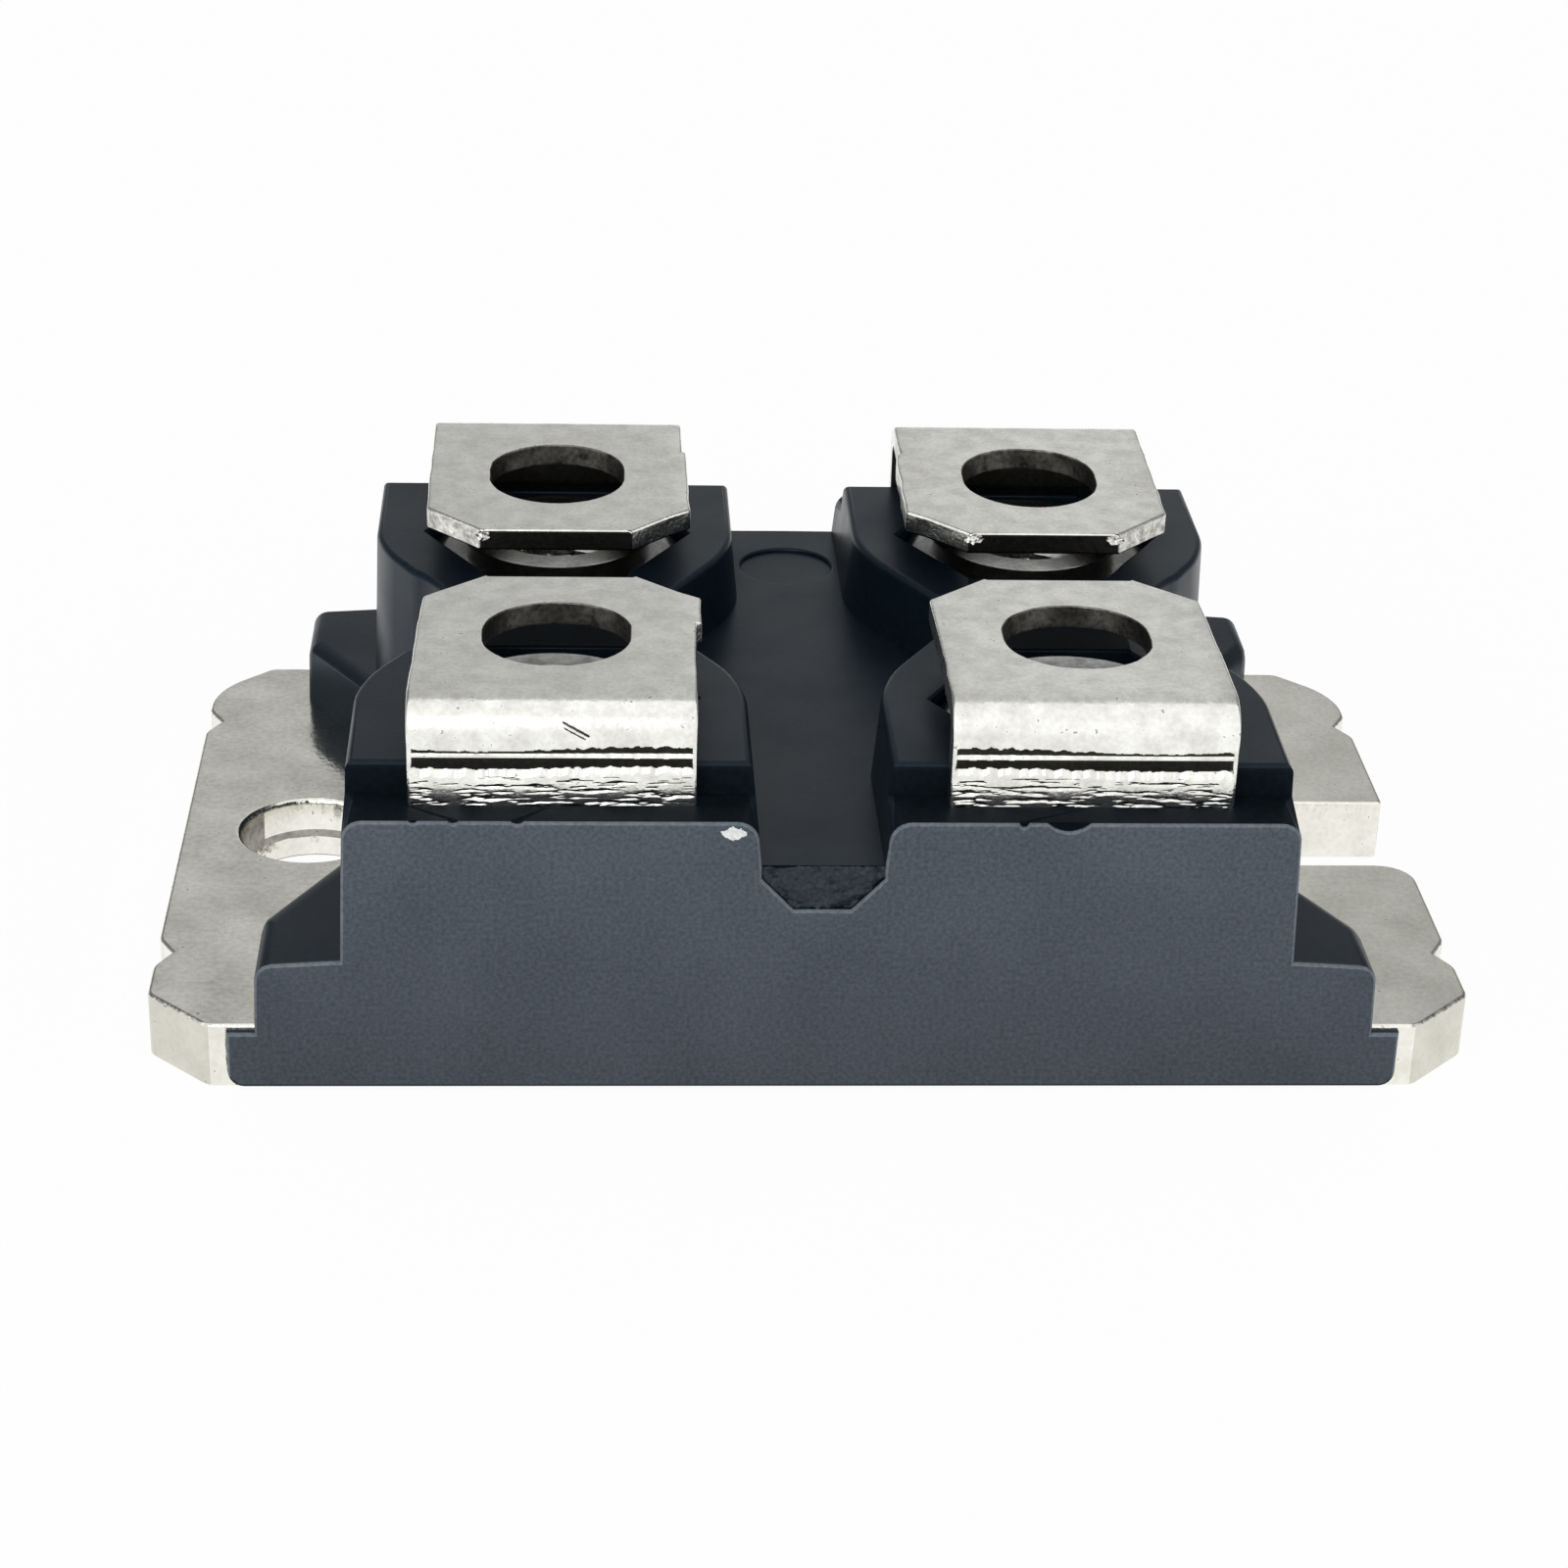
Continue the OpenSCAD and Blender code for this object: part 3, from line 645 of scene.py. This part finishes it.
def sheared(shape):
    """Cuts a ragged V groove around the back wall of the hole."""
    for z in (SHEAR_Z - SHEAR_HALF, SHEAR_Z, SHEAR_Z + SHEAR_HALF):
        cut(shape, (0, 0, z), UP)
    for vert in shape.verts:
        p = vert.co / MM
        if near(p.z, SHEAR_Z, 0.002) and p.y > SHEAR_FROM_Y and at_mounting_hole(p):
            walls = [face.normal for face in vert.link_faces if abs(face.normal.z) < 0.2]
            inward = -sum(walls, Vector()).normalized()
            uneven = max(0.2, 0.7 + noise.noise(p * 0.8)) * min(1, (p.y - SHEAR_FROM_Y) / 0.5)
            vert.co += (inward * SHEAR_DEEP * uneven + Vector((0, 0, 0.08 * noise.noise(p * 3)))) * MM
    return shape


plate_shape = rounded(cad_copy("base_plate", ((0, 0, 0), ALONG)), plate_corner)
plate_shape = rounded(sheared(plate_shape), plate_rim)

# %% Finish of the plate
def plate_material(centre, normal):
    """0 is the rolled face, 1 a punched wall, 2 a cut corner, 3 a darker torn grey on the groove's downward
    face, as painted shade, and on the hole's left wall, and 4 a corner's rim.
    """
    at_corner = abs(centre.x) > 17 and abs(centre.y) > 10
    if at_corner and 0.2 < normal.z < 0.97:
        return 4
    if abs(normal.z) > 0.7:
        return 0
    # Painted shade on the groove's downward face; the hole's left wall is made darker too.
    if at_mounting_hole(centre) and (normal.z < -0.1 or normal.x > 0.75):
        return 3
    return 2 if at_corner and abs(normal.x) > 0.3 else 1


piece("base_plate_punched", shaded(plate_shape),
      [plate_nickel, punched_nickel, corner_nickel, torn_and_shade_nickel, sheared_nickel],
      "base_plate", plate_material)

# %% [markdown]
# ## Terminals
# Each terminal is a strip of plated copper, punched, moulded in and at last folded over its nut.
# The punched edges wander by a few hundredths of a millimetre, three tabs have a small step where
# two strokes of the punch met, and one tab is turned a little. Cuts along a tab's borders give
# the copy enough points to move, and they stop short of the hole, so that its rim stays clean.

# %% Tabs with wandering edges
FOLD_Y, FOLD_Z, OUTER_Y, HALF_W, SHEET_R = 10.4, 10.45, 11.5, 4.0, 0.1
CREASED = (LEDGE - 0.08, FOLD_Z - 0.05)
TAB_TURN = {"front_source_terminal": 0.02}
STEPS = {"front_source_terminal": (1, 5.4), "rear_source_terminal": (1, 8.2), "drain_terminal": (-1, 8.2)}
STEP_W, STEP_LONG, BORDER = 0.13, 0.06, 0.5
BORDER_CUTS = [3.6 + 0.8 * count for count in range(9)]
WANDER, HOLE_WANDER = 0.05, 0.004


def at_hole(p):
    return (Vector((abs(p.x), abs(p.y))) - SCREW).length < 2.55


def bordered(node, middle, side_y, step_y):
    """A terminal's copy with cuts for the upright's grid and along the borders of its tab."""
    shape = cad_copy(node, ((middle, 0, 0), ACROSS))
    for z in CREASED:
        cut(shape, (0, 0, z), UP)
    for side in (-1, 1):
        cut(shape, (middle + side * (HALF_W - BORDER), 0, 0), ACROSS)
    for y in BORDER_CUTS + [step_y, step_y + STEP_LONG]:
        border = [face for face in shape.faces if all(
            abs(vert.co.x / MM - middle) > HALF_W - BORDER - 0.01 for vert in face.verts)]
        cut(shape, (0, side_y * y, 0), ALONG, border)
    bmesh.ops.remove_doubles(shape, verts=shape.verts, dist=0.03 * MM)
    return shape


def terminal_shape(node, side_x, side_y):
    middle = side_x * SCREW.x
    step_side, step_y = STEPS.get(node, (1, 0))
    shape = bordered(node, middle, side_y, step_y)
    for vert in shape.verts:
        p = vert.co / MM
        beyond = FOLD_Y - abs(p.y)
        if p.z < FOLD_Z or beyond < 0:
            continue
        if near(abs(p.x - middle), HALF_W, 0.01):
            vert.co.x += WANDER * min(1, beyond / 2) * noise.noise(Vector((p.x, p.y * 1.3, 4.0))) * MM
        if step_side * (p.x - middle) > HALF_W - 0.01 and abs(p.y) < step_y + 0.01:
            vert.co.x += step_side * STEP_W * MM
        if at_hole(p):
            vert.co.xy *= 1 + HOLE_WANDER * noise.noise(p * 2)
        vert.co.x += TAB_TURN.get(node, 0) * beyond * MM
    return shape


print("tabs with a step:", len(STEPS))

# %% [markdown]
# ## Dented uprights
# The folding tool leaves two dents across the upright and creases the plating below them. Dark paint
# on a flat face would look wrong from the side. So the face is taken out of the copy, and a fine
# grid with the dents is put in its place: its leaning parts mirror the black ledge below. Faces that
# lean down are also given a nearly black nickel, as a painted reflection of that ledge.

# %% Dents and creases
LEAN = 0.3
THIN_DENT, WIDE_DENT, CREASE_TOP, CREASE_DEEP = (10.13, 10.06), (9.95, 9.53), 9.35, 0.075
UPRIGHT_CELL = (0.05, 0.02)


def dent(z, top, bottom):
    """A face that leans in, so that it mirrors the black ledge, and comes back out more steeply."""
    return -LEAN * max(0, min(top - z, (top - bottom) - 2 * (bottom - z)))


def crease(x, z, seed):
    """Height of the upright's surface in mm: a thin dent, a wide one and short creases below."""
    rough = 0.5 + 0.5 * math.cos(math.tau * (x + 4.8) / 9.4)
    ragged = 0.04 * noise.fractal(Vector((x * 4, 0, seed + 8)), 0.8, 2, 3)
    thin = dent(z, THIN_DENT[0] + 0.16 * rough + (1 + rough) * ragged, THIN_DENT[1])
    wide = dent(z, WIDE_DENT[0], WIDE_DENT[1] + 0.1 * rough + 2 * ragged)
    calm = 0.2 * min(1, max(0, (z - LEDGE) / 0.9))
    creases = max(0, noise.fractal(Vector((x * 1.1, z * 8, seed)), 0.8, 2.2, 3) - calm)
    edge = min(1, (z - CREASED[0]) / 0.05, (CREASED[1] - z) / 0.05)
    return edge * (thin + wide - (CREASE_DEEP * creases if z < CREASE_TOP else 0))


def upright_point(u, z, side_x, side_y):
    """A point of the upright's outer face. u runs across it and on around its two rounded edges."""
    flat = HALF_W - SHEET_R
    turn = max(0, abs(u) - flat) / SHEET_R
    middle = side_x * SCREW.x
    across = math.copysign(min(abs(u), flat) + SHEET_R * math.sin(turn), u)
    fade = min(1, max(0, (flat - abs(u)) / SHEET_R))
    out = OUTER_Y - SHEET_R * (1 - math.cos(turn)) + fade * crease(middle + u, z, 5 * side_y)
    return middle + across, side_y * out, z


def creased(shape, side_x, side_y):
    plain = [face for face in shape.faces if all(
        side_y * vert.co.y / MM > OUTER_Y - SHEET_R - 0.005 and
        CREASED[0] - 0.01 < vert.co.z / MM < CREASED[1] + 0.01 for vert in face.verts)]
    print("creased faces", len(plain))
    bmesh.ops.delete(shape, geom=plain, context="FACES")
    reach = HALF_W - SHEET_R + SHEET_R * math.pi / 2
    return relief(shape, (-reach, CREASED[0]), (reach, CREASED[1]), UPRIGHT_CELL,
                  lambda u, z: upright_point(u, z, side_x, side_y), flip=side_y > 0)


heights = [crease(SCREW.x, CREASED[0] + 0.01 * count, 5) for count in range(190)]
print("the deepest dent in the middle of an upright is", round(-min(heights), 2), "mm")


# %% Rolled edges and finish of the terminals
HOLE_RIM = 0.06


def sheet_width(a, b, angle):
    if min(a.z, b.z) < LEDGE - 0.1 or angle < math.radians(30):
        return 0
    return HOLE_RIM if at_hole(a) and at_hole(b) else SHEET_R


def sheet_material(centre, normal):
    """0 is the plated face, 1 a cut edge, 2 a dent, the free end or the fold's inside, nearly black as painted
    shade, and 3 the hole, dark as painted shade.
    """
    outward = Vector((max(0, abs(centre.y) - FOLD_Y), max(0, centre.z - FOLD_Z))).normalized()
    facing = outward.dot((math.copysign(normal.y, normal.y * centre.y), normal.z))
    in_dent = centre.z < FOLD_Z and normal.z < -0.15
    free_end = abs(centre.y) < 2 and abs(normal.y) > 0.9
    # Painted shade: the wall and the rounded rim of the hole are dark.
    if at_hole(centre) and abs(normal.z) < 0.9:
        return 3
    # Painted shade inside the fold and on the free ends, and a painted reflection of the black ledge on dent
    # faces that lean down.
    if facing < -0.35 or in_dent or free_end:
        return 2
    return 1 if facing < 0.35 and abs(centre.y) < FOLD_Y else 0


for node, side_x, side_y in (
        ("front_source_terminal", -1, -1), ("rear_source_terminal", -1, 1),
        ("drain_terminal", 1, 1), ("gate_terminal", 1, -1)):
    sheet = creased(rounded(terminal_shape(node, side_x, side_y), sheet_width), side_x, side_y)
    piece(node + "_sheet", shaded(sheet), [terminal_nickel, sheared_nickel, shade_and_scratch_nickel, hole_shade_nickel],
          node, sheet_material)

# %% [markdown]
# ## Scratches and burrs
# A tool slipped over the near left fold and left two short scratches. They lie on the round part,
# so their grid is wound around the fold: v is the way along the arc. The shears left small bright
# burrs at the corners of the far tabs. Both are thin patches on top, because cutting them into the
# sheet would need a far finer mesh all over.

# %% Scratches on the fold
SCRATCHES = ((Vector((-7.2, 0.53)), Vector((-6.5, 0.15)), 0.035),
             (Vector((-7.15, 0.36)), Vector((-6.6, 0.06)), 0.02))
FOLD_R, SCRATCH_LIFT = OUTER_Y - FOLD_Y, 0.004


def on_fold(x, arc):
    radius, angle = FOLD_R + SCRATCH_LIFT, arc / FOLD_R
    return x, -FOLD_Y - radius * math.cos(angle), FOLD_Z + radius * math.sin(angle)


def in_scratch(x, arc):
    place = Vector((x, arc))
    for start, end, half_width in SCRATCHES:
        along = min(1, max(0, (place - start).dot(end - start) / (end - start).length_squared))
        if (place - start.lerp(end, along)).length < half_width:
            return True
    return False


patch("fold_scratches", (-7.3, 0.02), (-6.4, 0.6), 0.02, on_fold, in_scratch, shade_and_scratch_nickel)

# %% Burrs on the free ends
BURRS = ((-9.75, 0.2), (5.35, 0.28), (9.7, 0.25))
BURR_Y, BURR_Z, BURR_HALF_Z = 1.72, 11.16, 0.16


def in_burr(x, z):
    ragged = 0.8 * noise.noise(Vector((x * 6, z * 6, 0)))
    up = (z - BURR_Z) / BURR_HALF_Z
    return any(((x - middle) / half) ** 2 + up ** 2 < 0.9 + ragged for middle, half in BURRS)


patch("tab_burrs", (-10.1, 10.93), (10.1, 11.38), 0.03,
      lambda x, z: (x, BURR_Y + 0.3 * (z - 11) - 0.03 * crumbs(x, z, 0.15), z), in_burr, sheared_nickel)

# %% [markdown]
# ## Nuts
# Four loose M4 nuts lie below the tabs. A thread could be cut with a boolean, but that is slow and
# leaves slivers. Here the plain bore is taken out of one nut and a grid of points that winds as a
# thread is put in. A Geometry Nodes tree then repeats that nut on the screw grid.

# %% One threaded nut
NUT_LOW, NUT_HIGH, CREST_R, ROOT_R, MOUTH_R, LEAD = 6.3, 9.5, 1.65, 2.0, 2.145, 0.7
TURN_STEPS, Z_STEP = 96, 0.04
NUT_EDGE = 0.06


def one_nut():
    shape = cad_copy("terminal_nuts", (SCREW.to_3d(), ACROSS))
    others = [vert for vert in shape.verts if vert.co.x < 0 or vert.co.y < 0]
    bmesh.ops.delete(shape, geom=others, context="VERTS")
    bmesh.ops.translate(shape, verts=shape.verts, vec=-SCREW.to_3d() * MM)
    bore = [face for face in shape.faces if all(
        vert.co.xy.length / MM < MOUTH_R + 0.01 for vert in face.verts)]
    bmesh.ops.delete(shape, geom=bore, context="FACES")
    return rounded(shape, lambda a, b, angle: NUT_EDGE)


def thread_point(angle, z):
    """A point of the bore: a right-hand thread that runs out into the countersunk mouths."""
    winding = ((z - NUT_LOW) / LEAD - angle / math.tau) % 1
    thread = ROOT_R - (ROOT_R - CREST_R) * (1 - abs(2 * winding - 1))
    mouth = MOUTH_R - min(z - NUT_LOW, NUT_HIGH - z)
    radius = max(thread, mouth)
    return radius * math.cos(angle), radius * math.sin(angle), z


def threaded(shape):
    relief(shape, (0, NUT_LOW), (math.tau, NUT_HIGH), (math.tau / TURN_STEPS, Z_STEP), thread_point, flip=True)
    bmesh.ops.remove_doubles(shape, verts=shape.verts, dist=0.001 * MM)
    return shape


nut_mesh = shaded(threaded(one_nut()))
print("one nut has", len(nut_mesh.polygons), "faces")

# %% The nut on the screw grid
grid_tree = bpy.data.node_groups.new("nuts_on_screw_grid", "GeometryNodeTree")
grid_tree.interface.new_socket("Nut", in_out="INPUT", socket_type="NodeSocketGeometry")
pitch_x = grid_tree.interface.new_socket("Pitch X", in_out="INPUT", socket_type="NodeSocketFloat")
pitch_y = grid_tree.interface.new_socket("Pitch Y", in_out="INPUT", socket_type="NodeSocketFloat")
grid_tree.interface.new_socket("Nuts", in_out="OUTPUT", socket_type="NodeSocketGeometry")
given = add(grid_tree, "NodeGroupInput").outputs
points = add(grid_tree, "GeometryNodeMeshGrid", {
    "Size X": given["Pitch X"], "Size Y": given["Pitch Y"], "Vertices X": 2, "Vertices Y": 2})
copies = add(grid_tree, "GeometryNodeInstanceOnPoints", {"Points": points, "Instance": given["Nut"]})
solid = add(grid_tree, "GeometryNodeRealizeInstances", {"Geometry": copies})
plated = add(grid_tree, "GeometryNodeSetMaterial", {"Geometry": solid, "Material": nut_shaded_nickel})
add(grid_tree, "NodeGroupOutput", {"Nuts": plated})
raw_nut = bpy.data.objects.new("nut", nut_mesh)
bpy.context.scene.collection.objects.link(raw_nut)
repeat = raw_nut.modifiers.new("screw_grid", "NODES")
repeat.node_group = grid_tree
repeat[pitch_x.identifier] = 2 * SCREW.x * MM
repeat[pitch_y.identifier] = 2 * SCREW.y * MM
bpy.context.view_layer.update()
nuts_mesh = bpy.data.meshes.new_from_object(raw_nut.evaluated_get(bpy.context.evaluated_depsgraph_get()))
bpy.data.objects.remove(raw_nut)
piece("hex_nuts", nuts_mesh, [nut_shaded_nickel], "terminal_nuts")

# %% [markdown]
# ## Floor
# The photograph has a pure white ground. More light would bleach the module too, so instead the floor
# glows white to the camera and to reflections. A part of its shade is kept, so that the module stands
# on something.

# %% White floor
REACH, GLOW = 2.0, 0.95
floor_mesh = bpy.data.meshes.new("floor")
floor_mesh.from_pydata(
    [(-REACH, -REACH, 0), (REACH, -REACH, 0), (REACH, REACH, 0), (-REACH, REACH, 0)], [], [(0, 1, 2, 3)])
floor = bpy.data.objects.new("floor", floor_mesh)
bpy.context.scene.collection.objects.link(floor)
# Painted board: an even white without gloss, so only the soft shadow is seen on it.
white = bpy.data.materials.new("white_floor")
white.use_nodes = True
tree = white.node_tree
tree.nodes.clear()
path = add(tree, "ShaderNodeLightPath").outputs
seen = add(tree, "ShaderNodeMath", [path["Is Camera Ray"], path["Is Glossy Ray"]], operation="MAXIMUM")
seen = add(tree, "ShaderNodeMath", [seen, path["Is Transmission Ray"]], operation="MAXIMUM")
share = add(tree, "ShaderNodeMath", [seen, GLOW], operation="MULTIPLY")
matte = add(tree, "ShaderNodeBsdfDiffuse", {"Color": linear("#f6f6f4")})
glow = add(tree, "ShaderNodeEmission", {"Color": (1, 1, 1, 1), "Strength": 1.0})
both = add(tree, "ShaderNodeMixShader", [share, matte, glow])
add(tree, "ShaderNodeOutputMaterial", {"Surface": both})
floor_mesh.materials.append(white)
print("floor reaches", REACH, "m each way")

# %% [markdown]
# ## Light
# A white tent stands over the camera side and the top, and the room behind is dimmer, most of all to
# both sides. That split is what draws the bright folds and the grey tabs: a polished metal shows the
# room that it mirrors. Several lamps could do the same, but a world of two halves needs no aiming.
# One soft lamp at the front left is added, so that the light and the shadow have a side.

# %% Tent
FRONT_LIGHT, BACK_LEFT, BACK_RIGHT, ASIDE = 1.05, 0.51, 0.64, 0.4
SPLIT = (0.0, 0.985, -0.174)
world = bpy.data.worlds.new("tent")
world.use_nodes = True
tree = world.node_tree
tree.nodes.clear()
direction = add(tree, "ShaderNodeTexCoord").outputs["Generated"]
behind = add(tree, "ShaderNodeVectorMath", [direction, SPLIT], operation="DOT_PRODUCT").outputs["Value"]
sideways = add(tree, "ShaderNodeSeparateXYZ", [direction]).outputs["X"]
back = add(tree, "ShaderNodeMapRange", [sideways, 0.0, 0.13, BACK_LEFT, BACK_RIGHT])
aside = add(tree, "ShaderNodeMath", [sideways], operation="ABSOLUTE")
dimmed = add(tree, "ShaderNodeMapRange", [aside, 0.15, 0.4, 1.0, ASIDE])
back = add(tree, "ShaderNodeMath", [back, dimmed], operation="MULTIPLY")
room = add(tree, "ShaderNodeMapRange", [behind, -0.04, 0.04, FRONT_LIGHT, back])
path = add(tree, "ShaderNodeLightPath").outputs
clear = add(tree, "ShaderNodeMath", [path["Is Camera Ray"], path["Is Transmission Ray"]], operation="MAXIMUM")
level = add(tree, "ShaderNodeMix", {0: clear, 2: room, 3: 1.0}, data_type="FLOAT")
sky = add(tree, "ShaderNodeBackground", {"Color": (1, 1, 1, 1), "Strength": level})
add(tree, "ShaderNodeOutputWorld", {"Surface": sky})
bpy.context.scene.world = world
print("light in front", FRONT_LIGHT, "and behind", BACK_LEFT, "to", BACK_RIGHT)

# %% Lamp
lamp = bpy.data.lights.new("front_box", "AREA")
lamp.size = 0.3
lamp.energy = 0.7
lamp_object = bpy.data.objects.new("front_box", lamp)
lamp_object.location = (-0.2, -0.5, 0.3)
lamp_object.rotation_euler = (-lamp_object.location).to_track_quat("-Z", "Y").to_euler()
bpy.context.scene.collection.objects.link(lamp_object)
bpy.context.scene.view_settings.view_transform = "Standard"
print("lamp of", round(lamp.energy, 2), "W at", round(lamp_object.location.length, 2), "m")
